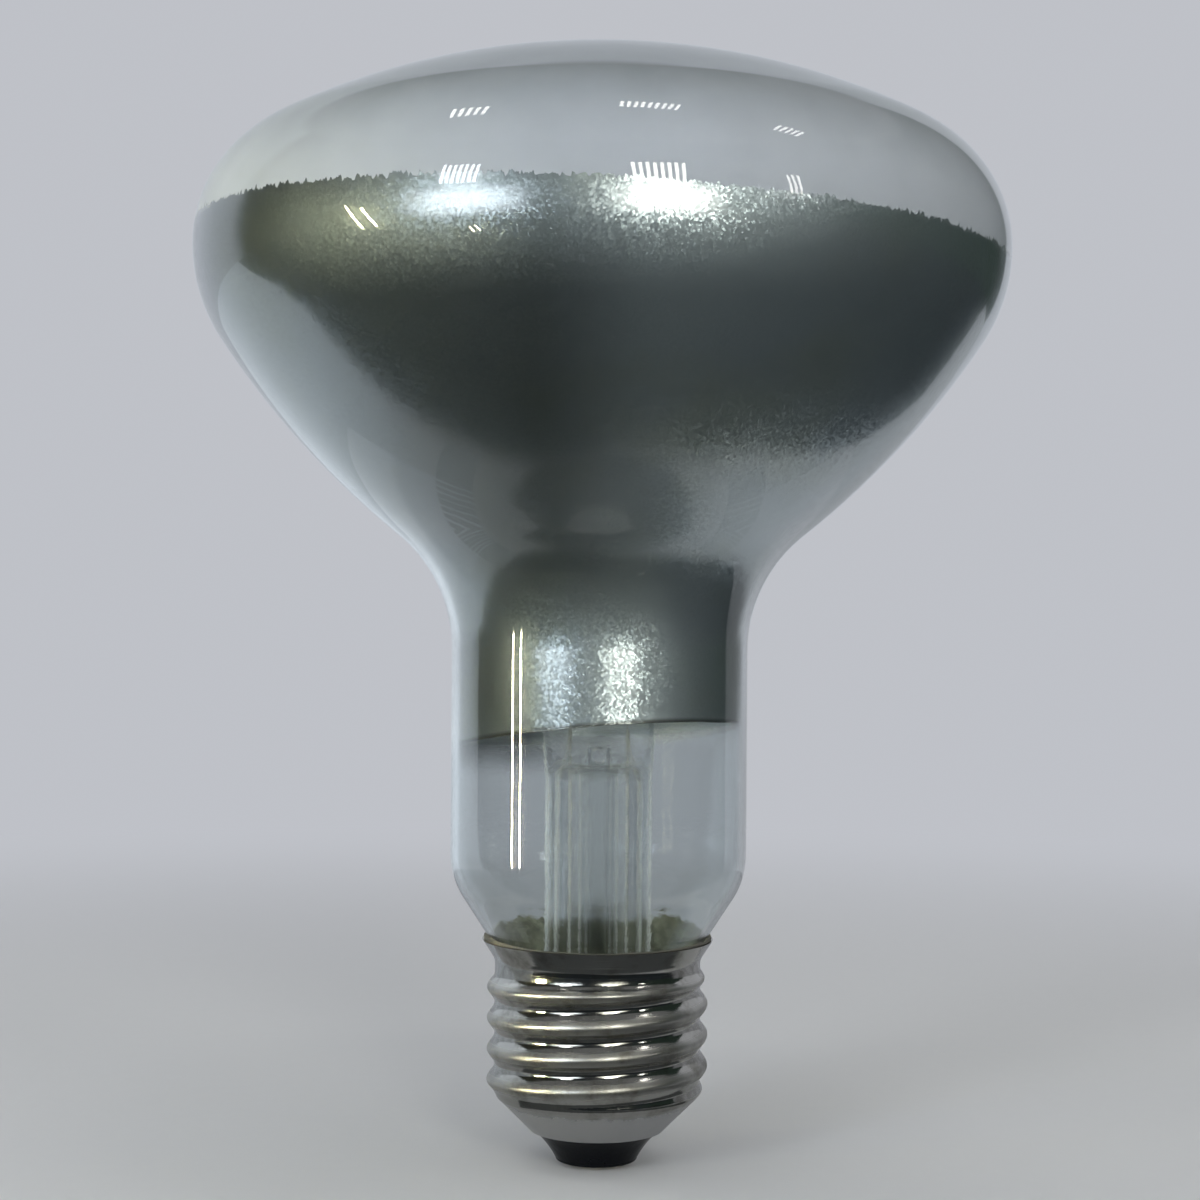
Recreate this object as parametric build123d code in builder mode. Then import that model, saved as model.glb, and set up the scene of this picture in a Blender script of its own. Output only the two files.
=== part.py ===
from build123d import *
import os
from math import asin, ceil, cos, degrees, radians, sin, sqrt, tan

# Reflector lamp with a 27 mm Edison screw cap, upright on its end contact.
# Millimetres and degrees. +Z runs from the cap to the front dome, and heights start at the contact's flat.
# -Y is the side that is usually looked at, with +X on its right.

# Glass bulb: dome, shoulder, flank, throat and neck run into each other without a corner
overall_length = 130.6
bulb_diameter = 95.8
crown_height = 23.1
shoulder_radius = 15.0
flank_top_radius = 19.3
flank_top_angle = 33.6
cone_angle = 51.5
throat_radius = 17.2
neck_diameter = 35.0
base_radius = 9.5
base_angle = 33.0
seal_blend_radius = 3.0
glass_wall = 0.8

# Mirror on the inside of the glass, its two edges slightly out of level
mirror_thickness = 0.12
mirror_clearance = 0.05
mirror_top_above_equator = 0.6
mirror_top_lean = 2.4
mirror_foot_height = 50.2
mirror_foot_lean_side = 4.6
mirror_foot_lean_front = 8.0

# Screw shell, rolled from thin sheet
thread_major_diameter = 26.1
thread_depth = 0.9
thread_pitch = 3.629
thread_turns = 4.25
thread_runout = 1.8
thread_start_angle = 335.0
sections_per_turn = 12
shell_wall = 0.3
mouth_diameter = 15.8
cap_cone_angle = 45.0
cap_shoulder_radius = 1.5
collar_land = 0.3
collar_bend_radius = 2.0
flare_length = 2.2

# Black glass insulator, contact disc and solder at the end of the cap
solder_height = 0.5
solder_flat_diameter = 3.0
solder_diameter = 5.0
insulator_height = 3.64
insulator_end_diameter = 9.7
insulator_edge_radius = 0.35
insulator_waist = 0.2
plug_margin = 1.3
insulator_dish_depth = 1.4
plate_diameter = 7.6
plate_thickness = 0.5
plate_hole_diameter = 1.6
wire_hole_diameter = 2.4

# Basing cement between neck and shell
cement_gap = 0.45
cement_clearance = 0.02
cement_depth = 7.2
cement_bead_width = 0.15
cement_bead_height = 0.55
cement_lean = 1.9
seal_gap = 1.05
neck_insert = 8.2

# Glass stem
stem_diameter = 12.6
stem_wall = 1.1
stem_tube_length = 27.2
press_width = 13.2
press_thickness = 4.6
press_corner_radius = 2.0
press_taper_length = 5.0
press_length = 6.0
press_edge_radius = 0.8
exhaust_diameter = 4.6
exhaust_wall = 0.9
exhaust_tail = 4.4
exhaust_hole_diameter = 1.6
exhaust_hole_margin = 0.5
rod_diameter = 2.8
button_diameter = 5.2

# Filament ring at the focus of the mirror, with its wires
filament_height = 79.4
filament_ring_diameter = 16.0
filament_coil_diameter = 0.9
filament_gap_angle = 80.0
support_rise = 8.0
support_diameter = 0.4
support_anchor = 1.4
support_shoulder = 2.2
support_angles = (20, 90, 160)
loop_clearance = 0.1
lead_diameter = 0.36
lead_spacing = 6.8
lead_clearance = 0.03
lead_bend_radius = 1.2
lead_bend_rise = 6.0
lead_upright = 5.0
clamp_diameter = 1.5
clamp_length = 1.6
lead_drop = 0.9
lead_end_rise = 0.5
rim_solder_radius = 1.1

# Levels and radii that follow from the sizes above, from the contact upwards
thread_root_radius = thread_major_diameter / 2 - thread_depth
mouth_radius = mouth_diameter / 2
mouth_height = solder_height + insulator_height
cap_shoulder_inset = cap_shoulder_radius * (1 - cos(radians(cap_cone_angle)))
cap_cone_rise = (thread_root_radius - cap_shoulder_inset - mouth_radius) / tan(radians(cap_cone_angle))
thread_start = mouth_height + cap_cone_rise
cap_shoulder_top = thread_start + cap_shoulder_radius * sin(radians(cap_cone_angle))
thread_length = thread_turns * thread_pitch
thread_end = thread_start + thread_length
flare_start = thread_end + collar_land
flare_rise = collar_bend_radius * sin(radians(base_angle)) + flare_length * cos(radians(base_angle))
flare_spread = collar_bend_radius * (1 - cos(radians(base_angle))) + flare_length * sin(radians(base_angle))
rim_height = flare_start + flare_rise
rim_radius = thread_root_radius + flare_spread

equator_height = overall_length - crown_height
equator_radius = bulb_diameter / 2
neck_radius = neck_diameter / 2
crown_reach = equator_radius - shoulder_radius
crown_square = crown_reach**2 + crown_height**2 - shoulder_radius**2
crown_radius = crown_square / (2 * (crown_height - shoulder_radius))
crown_angle = degrees(asin(crown_reach / (crown_radius - shoulder_radius)))
flank_top_inset = flank_top_radius * (1 - cos(radians(flank_top_angle)))
throat_spread = throat_radius * (1 - cos(radians(cone_angle)))
flank_width = equator_radius - flank_top_inset - neck_radius - throat_spread
flank_radius = flank_width / (cos(radians(flank_top_angle)) - cos(radians(cone_angle)))
glass_radius_at_rim = rim_radius - (shell_wall + cement_gap) / cos(radians(base_angle))
base_inner_radius = neck_radius - base_radius * (1 - cos(radians(base_angle)))
base_end_height = rim_height + (base_inner_radius - glass_radius_at_rim) / tan(radians(base_angle))
neck_base_height = base_end_height + base_radius * sin(radians(base_angle))
seal_radius = thread_root_radius - shell_wall - seal_gap
seal_height = rim_height - neck_insert
seal_blend_spread = seal_blend_radius * (1 - cos(radians(base_angle)))
taper_length = (base_inner_radius - seal_radius - seal_blend_spread) / sin(radians(base_angle))

stem_radius = stem_diameter / 2
press_foot = seal_height + stem_tube_length
press_shoulder = press_foot + press_taper_length
press_top = press_shoulder + press_length
button_height = filament_height - support_rise
filament_radius = filament_ring_diameter / 2
filament_start_angle = -90 + filament_gap_angle / 2
lead_x = lead_spacing / 2
exhaust_tip = seal_height - exhaust_tail


def radial_plane(angle):
    # Upright plane through the lamp's axis: its own x runs outwards and its own y upwards.
    turn = radians(angle)
    return Plane(origin=(0, 0, 0), x_dir=(cos(turn), sin(turn), 0), z_dir=(sin(turn), -cos(turn), 0))


def dome_to_neck(inset):
    # Half outline of the bulb from its front to the foot of the neck, moved in from the skin by the inset.
    dome = JernArc((0, overall_length - inset), (1, 0), crown_radius - inset, -crown_angle)
    shoulder = JernArc(dome @ 1, dome % 1, shoulder_radius - inset, crown_angle - 90)
    flank_top = JernArc(shoulder @ 1, shoulder % 1, flank_top_radius - inset, -flank_top_angle)
    flank = JernArc(flank_top @ 1, flank_top % 1, flank_radius - inset, flank_top_angle - cone_angle)
    throat = JernArc(flank @ 1, flank % 1, throat_radius + inset, cone_angle)
    return Line(throat @ 1, (neck_radius - inset, neck_base_height))


def neck_to_seal(inset):
    # The outline goes on from the foot of the neck, down the taper to the sealed end inside the cap.
    base = JernArc((neck_radius - inset, neck_base_height), (0, -1), base_radius - inset, -base_angle)
    taper = Line(base @ 1, base @ 1 + taper_length * (base % 1))
    blend = JernArc(taper @ 1, taper % 1, seal_blend_radius + inset, base_angle)
    return Line(blend @ 1, (seal_radius - inset, seal_height))


def bulb_solid(inset):
    # The bulb filled up to the given inset, as one turned body.
    with BuildPart() as body:
        with BuildSketch(Plane.XZ):
            with BuildLine():
                dome_to_neck(inset)
                seal = neck_to_seal(inset)
                Polyline(seal @ 1, (0, seal_height), (0, overall_length - inset))
            make_face()
        revolve(axis=Axis.Z)
    return body.part


def shell_solid(inset):
    # The screw shell filled up to the given inset: end cone, rolled thread and collar with its flared rim.
    root = thread_root_radius - inset
    slant_in = inset / cos(radians(cap_cone_angle))
    flare_in = inset / cos(radians(base_angle))
    shoulder = cap_shoulder_radius - inset
    cone_top = cap_shoulder_top - shoulder * sin(radians(cap_cone_angle))
    cone_top_radius = root - shoulder * (1 - cos(radians(cap_cone_angle)))
    with BuildPart() as body:
        with BuildSketch(Plane.XZ):
            with BuildLine():
                cone = Line((mouth_radius - slant_in, mouth_height), (cone_top_radius, cone_top))
                Polyline(cone @ 1, (0, cone_top), (0, mouth_height), cone @ 0)
            make_face()
        revolve(axis=Axis.Z)
        # A rolled thread is a circle in every level section; its centre winds round the axis once per pitch.
        # At the foot the circles draw in round the shoulder, so the thread runs out on the end cone.
        steps = ceil(thread_turns * sections_per_turn)
        for step in range(steps + 1):
            level = cone_top + (thread_end - cone_top) * step / steps
            share = min(1, (level - cone_top) / thread_runout, (thread_end - level) / thread_runout)
            swing = thread_depth / 2 * sin(radians(90 * share)) ** 2
            turn = radians(thread_start_angle + 360 * (level - thread_start) / thread_pitch)
            below = max(0, cap_shoulder_top - level)
            drawn_in = shoulder - sqrt(shoulder**2 - below**2)
            with BuildSketch(Plane.XY.offset(level)):
                with Locations((swing * cos(turn), swing * sin(turn))):
                    Circle(root - drawn_in + swing)
        loft()
        with BuildSketch(Plane.XZ):
            with BuildLine():
                land = Line((root, thread_end), (root, flare_start))
                bend = JernArc(land @ 1, (0, 1), collar_bend_radius + inset, -base_angle)
                flare = Line(bend @ 1, (rim_radius - flare_in, rim_height))
                Polyline(flare @ 1, (0, rim_height), (0, thread_end), (root, thread_end))
            make_face()
        revolve(axis=Axis.Z)
    return body.part


def lead_tip(side):
    # Middle of the clamp that holds one end of the filament, on the right (1) or the left (-1).
    end = radians(filament_start_angle)
    x = filament_radius * cos(end) + clamp_length / 2 * sin(end)
    y = filament_radius * sin(end) - clamp_length / 2 * cos(end)
    return side * x, y, filament_height


def clamp_plane(side):
    # Plane on the end face of the filament, facing into the gap of the ring.
    end = radians(filament_start_angle)
    spot = (side * filament_radius * cos(end), filament_radius * sin(end), filament_height)
    return Plane(origin=spot, z_dir=(side * sin(end), -cos(end), 0))


def upper_route(side):
    # The wire's upper points, from the clamp down to where it stands straight above the press.
    x, y, z = lead_tip(side)
    return [(x, y, z), (x, y, z - lead_upright), (side * lead_x, 0, press_top + lead_bend_rise)]


def wire_along(points, bend_radius, diameter):
    # A round wire along straight runs with rounded corners.
    with BuildPart() as wire:
        with BuildLine() as route:
            FilletPolyline(*points, radius=bend_radius)
        with BuildSketch(Plane(origin=route.line @ 0, z_dir=route.line % 0)):
            Circle(diameter / 2)
        sweep(path=route.line)
    return wire.part


os.makedirs("parts", exist_ok=True)

# Glass bulb: one blown wall
bulb_outside = bulb_solid(0)
bulb_inside = bulb_solid(glass_wall)
with BuildPart() as glass_bulb:
    add(bulb_outside)
    add(bulb_inside, mode=Mode.SUBTRACT)
glass_bulb.part.label = "glass_bulb"
export_step(glass_bulb.part, "parts/glass_bulb.step")

# Mirror: a thin skin on the inside of the wall, cut off along two leaning planes
mirror_outside = bulb_solid(glass_wall + mirror_clearance)
mirror_inside = bulb_solid(glass_wall + mirror_clearance + mirror_thickness)
mirror_top = Plane.XY.offset(equator_height + mirror_top_above_equator).rotated((0, mirror_top_lean, 0))
mirror_foot = Plane.XY.offset(mirror_foot_height)
mirror_foot = mirror_foot.rotated((-mirror_foot_lean_front, -mirror_foot_lean_side, 0))
with BuildPart() as mirror_coating:
    add(mirror_outside)
    add(mirror_inside, mode=Mode.SUBTRACT)
    split(bisect_by=mirror_top, keep=Keep.BOTTOM)
    split(bisect_by=mirror_foot, keep=Keep.TOP)
mirror_coating.part.label = "mirror_coating"
export_step(mirror_coating.part, "parts/mirror_coating.step")

# Lead wire of the contact: from the right clamp through the press, past the exhaust tube, into the solder
contact_route = upper_route(1) + [
    (lead_x, 0, exhaust_tip),
    (0, 0, exhaust_tip - lead_spacing),
    (0, 0, solder_height / 2),
]
contact_run = wire_along(contact_route, lead_bend_radius, lead_diameter)
with BuildPart() as contact_lead_wire:
    add(contact_run)
    with BuildSketch(clamp_plane(1)):
        Circle(clamp_diameter / 2)
    extrude(amount=clamp_length)
contact_lead_wire.part.label = "contact_lead_wire"
export_step(contact_lead_wire.part, "parts/contact_lead_wire.step")

# Lead wire of the shell: from the left clamp through the press, under the flare, up the neck to the rim
lead_stand_off = lead_diameter / 2 + lead_clearance
side_radius = seal_radius + lead_stand_off
side_y = sqrt(side_radius**2 - lead_x**2)
side_low = seal_height - stem_wall - lead_drop
slant_stand_off = lead_stand_off / cos(radians(base_angle))
side_corner = rim_height + (side_radius - slant_stand_off - glass_radius_at_rim) / tan(radians(base_angle))
side_end = rim_height + lead_end_rise
side_end_radius = glass_radius_at_rim + slant_stand_off + lead_end_rise * tan(radians(base_angle))
side_way = (-lead_x / side_radius, side_y / side_radius)
shell_route = upper_route(-1) + [
    (-lead_x, 0, side_low),
    (-lead_x, side_y, side_low),
    (-lead_x, side_y, side_corner),
    (side_end_radius * side_way[0], side_end_radius * side_way[1], side_end),
]
shell_bends = [lead_bend_radius] * 4 + [seal_blend_radius - lead_stand_off]
shell_run = wire_along(shell_route, shell_bends, lead_diameter)
with BuildPart() as shell_lead_wire:
    add(shell_run)
    with BuildSketch(clamp_plane(-1)):
        Circle(clamp_diameter / 2)
    extrude(amount=clamp_length)
shell_lead_wire.part.label = "shell_lead_wire"
export_step(shell_lead_wire.part, "parts/shell_lead_wire.step")

# Filament: the coil's outer form, an open ring from clamp to clamp
with BuildPart() as filament:
    with BuildSketch(radial_plane(filament_start_angle)):
        with Locations((filament_radius, filament_height)):
            Circle(filament_coil_diameter / 2)
    revolve(axis=Axis.Z, revolution_arc=360 - filament_gap_angle)
filament.part.label = "filament"
export_step(filament.part, "parts/filament.step")

# Support wires: set in the button, each with a loop round the filament
loop_radius = (filament_coil_diameter + support_diameter) / 2 + loop_clearance
supports = []
for number, angle in enumerate(support_angles, start=1):
    upright = radial_plane(angle)
    loop_centre = upright.from_local_coords((filament_radius, filament_height, 0))
    with BuildPart() as support_wire:
        with BuildLine(upright) as route:
            FilletPolyline(
                (button_diameter / 2 - support_anchor, button_height),
                (filament_radius - support_shoulder, button_height),
                (filament_radius, filament_height - loop_radius),
                radius=lead_bend_radius,
            )
        with BuildSketch(Plane(origin=route.line @ 0, z_dir=route.line % 0)):
            Circle(support_diameter / 2)
        sweep()
        with Locations(Plane(origin=loop_centre, z_dir=upright.z_dir)):
            Torus(loop_radius, support_diameter / 2)
    support_wire.part.label = f"support_wire_{number}"
    export_step(support_wire.part, f"parts/support_wire_{number}.step")
    supports.append(support_wire.part)

# Glass stem: flare, tube, press, exhaust tube, rod and button fused together, with the wires set in the glass
flare_radius = seal_radius - glass_wall - stem_radius
flare_top = seal_height + flare_radius
bore_radius = stem_radius - stem_wall
exhaust_radius = exhaust_diameter / 2
exhaust_bore = exhaust_radius - exhaust_wall
exhaust_round = exhaust_tip + exhaust_radius
gap_end_radius = (bore_radius - exhaust_radius) / 2
hole_rise = gap_end_radius + exhaust_hole_margin + exhaust_hole_diameter / 2
with BuildPart() as glass_stem:
    with BuildSketch(Plane.XZ):
        with BuildLine():
            joint = Line((seal_radius, seal_height), (seal_radius - glass_wall, seal_height))
            flare = JernArc(joint @ 1, (-1, 0), flare_radius, -90)
            tube = Line(flare @ 1, (stem_radius, press_foot))
            bore = Polyline(tube @ 1, (bore_radius, press_foot), (bore_radius, flare_top))
            flare_bore = JernArc(bore @ 1, (0, -1), flare_radius + stem_wall, 90)
            Polyline(flare_bore @ 1, (seal_radius, seal_height - stem_wall), joint @ 0)
        make_face()
    revolve(axis=Axis.Z)
    with BuildSketch(Plane.XZ):
        with BuildLine():
            tip = JernArc((0, exhaust_tip), (1, 0), exhaust_radius, 90)
            tube = Line(tip @ 1, (exhaust_radius, press_foot))
            bore = Polyline(tube @ 1, (exhaust_bore, press_foot), (exhaust_bore, exhaust_round))
            tip_bore = JernArc(bore @ 1, (0, -1), exhaust_bore, -90)
            Line(tip_bore @ 1, tip @ 0)
        make_face()
    revolve(axis=Axis.Z)
    with BuildSketch(Plane.XY.offset(press_foot)):
        Circle(stem_radius)
    with BuildSketch(Plane.XY.offset(press_shoulder)):
        RectangleRounded(press_width, press_thickness, press_corner_radius)
    loft()
    with BuildSketch(Plane.XY.offset(press_shoulder)):
        RectangleRounded(press_width, press_thickness, press_corner_radius)
    extrude(amount=press_length)
    fillet(glass_stem.faces().sort_by(Axis.Z)[-1].edges(), press_edge_radius)
    with BuildSketch(Plane.XY.offset(press_top)):
        Circle(rod_diameter / 2)
    extrude(amount=button_height - press_top)
    with Locations((0, 0, button_height)):
        Sphere(button_diameter / 2)
    # The gap between the two tubes ends round in the fused glass
    with BuildSketch(Plane.XZ):
        with BuildLine():
            gap_end = JernArc((bore_radius, press_foot), (0, 1), gap_end_radius, 180)
            Line(gap_end @ 1, gap_end @ 0)
        make_face()
    revolve(axis=Axis.Z, mode=Mode.SUBTRACT)
    # The exhaust tube's bore goes on above it, and opens into the bulb at the front
    with BuildSketch(Plane.XY.offset(press_foot)):
        Circle(exhaust_bore)
    extrude(amount=hole_rise + exhaust_hole_diameter / 2, mode=Mode.SUBTRACT)
    with BuildSketch(Plane.XZ):
        with Locations((0, press_foot + hole_rise)):
            Circle(exhaust_hole_diameter / 2)
    extrude(amount=stem_radius, mode=Mode.SUBTRACT)
    add([contact_run, shell_run, *supports], mode=Mode.SUBTRACT)
glass_stem.part.label = "glass_stem"
export_step(glass_stem.part, "parts/glass_stem.step")

# Screw shell: thin sheet with the thread rolled through it
shell_outside = shell_solid(0)
shell_inside = shell_solid(shell_wall)
with BuildPart() as screw_shell:
    add(shell_outside)
    add(shell_inside, mode=Mode.SUBTRACT)
screw_shell.part.label = "screw_shell"
export_step(screw_shell.part, "parts/screw_shell.step")

# Basing cement: fills the collar round the neck, and is squeezed out above the rim at the back
collar_inside = thread_root_radius - shell_wall
cement_radius = collar_inside - cement_clearance
rim_inside = rim_radius - shell_wall / cos(radians(base_angle))
bead_radius = rim_inside + cement_bead_width
bead_limit = rim_height + 2 * cement_bead_height
cement_foot = rim_height - cement_depth
cement_top = Plane.XY.offset(rim_height + cement_bead_height).rotated((cement_lean, 0, 0))
with BuildPart() as basing_cement:
    with BuildSketch(Plane.XZ):
        with BuildLine():
            outside = Polyline(
                (0, cement_foot),
                (cement_radius, cement_foot),
                (cement_radius, thread_end),
                (collar_inside, flare_start),
            )
            bend = JernArc(outside @ 1, (0, 1), collar_bend_radius + shell_wall, -base_angle)
            collar = Line(bend @ 1, (rim_inside, rim_height))
            bead = Polyline(collar @ 1, (bead_radius, rim_height), (bead_radius, bead_limit))
            Polyline(bead @ 1, (0, bead_limit), outside @ 0)
        make_face()
    revolve(axis=Axis.Z)
    add([bulb_outside, shell_run], mode=Mode.SUBTRACT)
    split(bisect_by=cement_top, keep=Keep.BOTTOM)
basing_cement.part.label = "basing_cement"
export_step(basing_cement.part, "parts/basing_cement.step")

# Black glass insulator, moulded into the end cone of the shell
mouth_inside = mouth_radius - shell_wall / cos(radians(cap_cone_angle))
plug_height = cap_cone_rise - plug_margin
plug_top = mouth_height + plug_height
plug_radius = mouth_inside + plug_height * tan(radians(cap_cone_angle))
plate_radius = plate_diameter / 2
plate_top = solder_height + plate_thickness
wire_hole_radius = wire_hole_diameter / 2
end_radius = insulator_end_diameter / 2
with BuildPart() as glass_insulator:
    with BuildSketch(Plane.XZ):
        with BuildLine():
            end = Line((plate_radius, solder_height), (end_radius - insulator_edge_radius, solder_height))
            edge = JernArc(end @ 1, (1, 0), insulator_edge_radius, 90)
            side = SagittaArc(edge @ 1, (mouth_inside, mouth_height), insulator_waist)
            Polyline(
                side @ 1,
                (plug_radius, plug_top),
                (wire_hole_radius, plug_top - insulator_dish_depth),
                (wire_hole_radius, plate_top),
                (plate_radius, plate_top),
                end @ 0,
            )
        make_face()
    revolve(axis=Axis.Z)
glass_insulator.part.label = "glass_insulator"
export_step(glass_insulator.part, "parts/glass_insulator.step")

# Contact disc, flush with the end of the black glass
with BuildPart() as contact_plate:
    with BuildSketch(Plane.XY.offset(solder_height)):
        Circle(plate_radius)
        Circle(plate_hole_diameter / 2, mode=Mode.SUBTRACT)
    extrude(amount=plate_thickness)
contact_plate.part.label = "contact_plate"
export_step(contact_plate.part, "parts/contact_plate.step")

# Contact solder: a low drop on the disc, flattened at its foot, that fills the hole round the wire
with BuildPart() as contact_solder:
    with BuildSketch(Plane.XZ):
        with BuildLine():
            flat = Line((0, 0), (solder_flat_diameter / 2, 0))
            drop = TangentArc(flat @ 1, (solder_diameter / 2, solder_height), tangent=(1, 0))
            Polyline(
                drop @ 1,
                (plate_hole_diameter / 2, solder_height),
                (plate_hole_diameter / 2, plate_top),
                (0, plate_top),
                (0, 0),
            )
        make_face()
    revolve(axis=Axis.Z)
    add(contact_run, mode=Mode.SUBTRACT)
contact_solder.part.label = "contact_solder"
export_step(contact_solder.part, "parts/contact_solder.step")

# Rim solder: a bead over the end of the other wire, on the rim at the back
with BuildPart() as rim_solder:
    with Locations((rim_radius * side_way[0], rim_radius * side_way[1], rim_height)):
        Sphere(rim_solder_radius)
    for neighbour in (screw_shell.part, glass_bulb.part, basing_cement.part, shell_run):
        add(neighbour, mode=Mode.SUBTRACT)
rim_solder.part.label = "rim_solder"
export_step(rim_solder.part, "parts/rim_solder.step")
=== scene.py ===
from math import cos, pi, radians, sin, tan

import bmesh
import bpy
from mathutils import Matrix, Quaternion, Vector, noise


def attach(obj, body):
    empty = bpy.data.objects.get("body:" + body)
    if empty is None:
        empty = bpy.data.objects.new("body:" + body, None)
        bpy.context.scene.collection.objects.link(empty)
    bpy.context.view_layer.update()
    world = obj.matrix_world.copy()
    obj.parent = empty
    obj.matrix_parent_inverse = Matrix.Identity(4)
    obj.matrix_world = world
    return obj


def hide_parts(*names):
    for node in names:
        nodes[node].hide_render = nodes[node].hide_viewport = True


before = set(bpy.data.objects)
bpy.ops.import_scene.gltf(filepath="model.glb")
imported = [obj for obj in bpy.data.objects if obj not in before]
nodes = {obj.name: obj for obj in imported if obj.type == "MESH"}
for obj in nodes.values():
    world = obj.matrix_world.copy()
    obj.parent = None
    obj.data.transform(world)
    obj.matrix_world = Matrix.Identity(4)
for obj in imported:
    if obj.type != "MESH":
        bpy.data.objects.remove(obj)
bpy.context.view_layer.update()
mm = 0.001
print("frame loaded:", len(nodes), "nodes")


# a node with its sockets filled: numbers go in, sockets are linked
def put(tree, kind, values=None, **settings):
    made = tree.nodes.new("ShaderNode" + kind)
    for name, value in settings.items():
        setattr(made, name, value)
    for socket, value in (values or {}).items():
        if isinstance(value, bpy.types.NodeSocket):
            tree.links.new(value, made.inputs[socket])
        else:
            made.inputs[socket].default_value = value
    return made


def maths(tree, operation, first, second=0.0, third=0.0, clamp=False):
    values = {0: first, 1: second, 2: third}
    return put(tree, "Math", values, operation=operation, use_clamp=clamp).outputs[0]


def multiply(tree, first, second):
    return maths(tree, "MULTIPLY", first, second)


def larger(tree, first, second):
    return maths(tree, "MAXIMUM", first, second)


def vectorMaths(tree, operation, *values):
    made = put(tree, "VectorMath", dict(enumerate(values)), operation=operation)
    isNumber = operation in ("LENGTH", "DOT_PRODUCT")
    return made.outputs["Value" if isNumber else "Vector"]


def remap(tree, value, fromLow, fromHigh, toLow=0.0, toHigh=1.0, kind="LINEAR"):
    values = {"Value": value, "From Min": fromLow, "From Max": fromHigh, "To Min": toLow, "To Max": toHigh}
    return put(tree, "MapRange", values, interpolation_type=kind).outputs["Result"]


# smooth step from 0 at low to 1 at high
def rampUp(tree, value, low, high):
    return remap(tree, value, low, high, kind="SMOOTHSTEP")


# 1 between low and high, with soft ends
def between(tree, value, low, lowSoft, high, highSoft):
    up = rampUp(tree, value, low - lowSoft, low + lowSoft)
    down = rampUp(tree, value, high + highSoft, high - highSoft)
    return multiply(tree, up, down)


def blendColour(tree, factor, first, second):
    made = put(tree, "Mix", {0: factor}, data_type="RGBA")
    for index, colour in ((6, first), (7, second)):
        if isinstance(colour, bpy.types.NodeSocket):
            tree.links.new(colour, made.inputs[index])
        else:
            made.inputs[index].default_value = (*colour, 1)
    return made.outputs[2]


def noiseAt(tree, where, scale, detail=3.0, rough=0.5):
    values = {"Vector": where, "Scale": scale, "Detail": detail, "Roughness": rough}
    return put(tree, "TexNoise", values).outputs["Fac"]


# a value that wavers by how far a noise is from its middle
def waver(tree, value, wobble, amount, clamp=False):
    centred = maths(tree, "SUBTRACT", wobble, 0.5)
    return maths(tree, "MULTIPLY_ADD", centred, amount, value, clamp=clamp)


def bumpFrom(tree, height, strength, distance):
    values = {"Height": height, "Strength": strength, "Distance": distance}
    return put(tree, "Bump", values).outputs["Normal"]


def partsOf(tree, vector):
    return put(tree, "SeparateXYZ", {"Vector": vector}).outputs


def flattened(tree, parts):
    return put(tree, "CombineXYZ", {"X": parts["X"], "Y": parts["Y"]}).outputs[0]


# angle round the lamp's axis, from the camera's side and towards the right
def turnOf(tree, parts):
    return maths(tree, "ARCTAN2", parts["X"], multiply(tree, parts["Y"], -1.0))


# whether a ray has met something shiny, and whether what it meets shows or only gives light
def raysOf(tree):
    rays = put(tree, "LightPath").outputs
    mirrored = maths(tree, "GREATER_THAN", rays["Glossy Depth"], 0.5)
    shiny = larger(tree, rays["Is Glossy Ray"], rays["Is Transmission Ray"])
    return mirrored, larger(tree, rays["Is Camera Ray"], shiny)


def principled(tree, values):
    return put(tree, "BsdfPrincipled", values).outputs[0]


def mixShaders(tree, share, first, second):
    return put(tree, "MixShader", {0: share, 1: first, 2: second}).outputs[0]


# light goes straight through, so that what is behind the glass is lit
def letLightThrough(tree, surface, colour):
    shadowRay = put(tree, "LightPath").outputs["Is Shadow Ray"]
    through = put(tree, "BsdfTransparent", {"Color": colour}).outputs[0]
    return mixShaders(tree, shadowRay, surface, through)


def newMaterial(name):
    made = bpy.data.materials.new(name)
    made.use_nodes = True
    tree = made.node_tree
    tree.nodes.clear()
    where = put(tree, "TexCoord").outputs["Object"]
    return made, tree, where


def finishMaterial(tree, surface):
    put(tree, "OutputMaterial", {"Surface": surface})


def paint(nodeName, material):
    node = nodes[nodeName]
    node.data.materials.clear()
    node.data.materials.append(material)


def addObject(name, data):
    made = bpy.data.objects.new(name, data)
    bpy.context.scene.collection.objects.link(made)
    return made


def meshObject(name, bm, materials):
    mesh = bpy.data.meshes.new(name)
    bm.to_mesh(mesh)
    bm.free()
    for material in materials:
        mesh.materials.append(material)
    return addObject(name, mesh)


sharpAngle = 40.0


# a bmesh becomes a piece that rides on the lamp and stands for a node
def newPiece(name, bm, materials, nodeName):
    piece = meshObject(name, bm, materials)
    piece.data.shade_smooth()
    piece.data.set_sharp_from_angle(angle=radians(sharpAngle))
    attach(piece, "root")
    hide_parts(nodeName)
    print("made", name, "with", len(piece.data.polygons), "faces")


def extrudeTo(bm, tip, spot):
    made = bmesh.ops.extrude_vert_indiv(bm, verts=[tip])["verts"][0]
    made.co = spot
    return made


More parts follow.
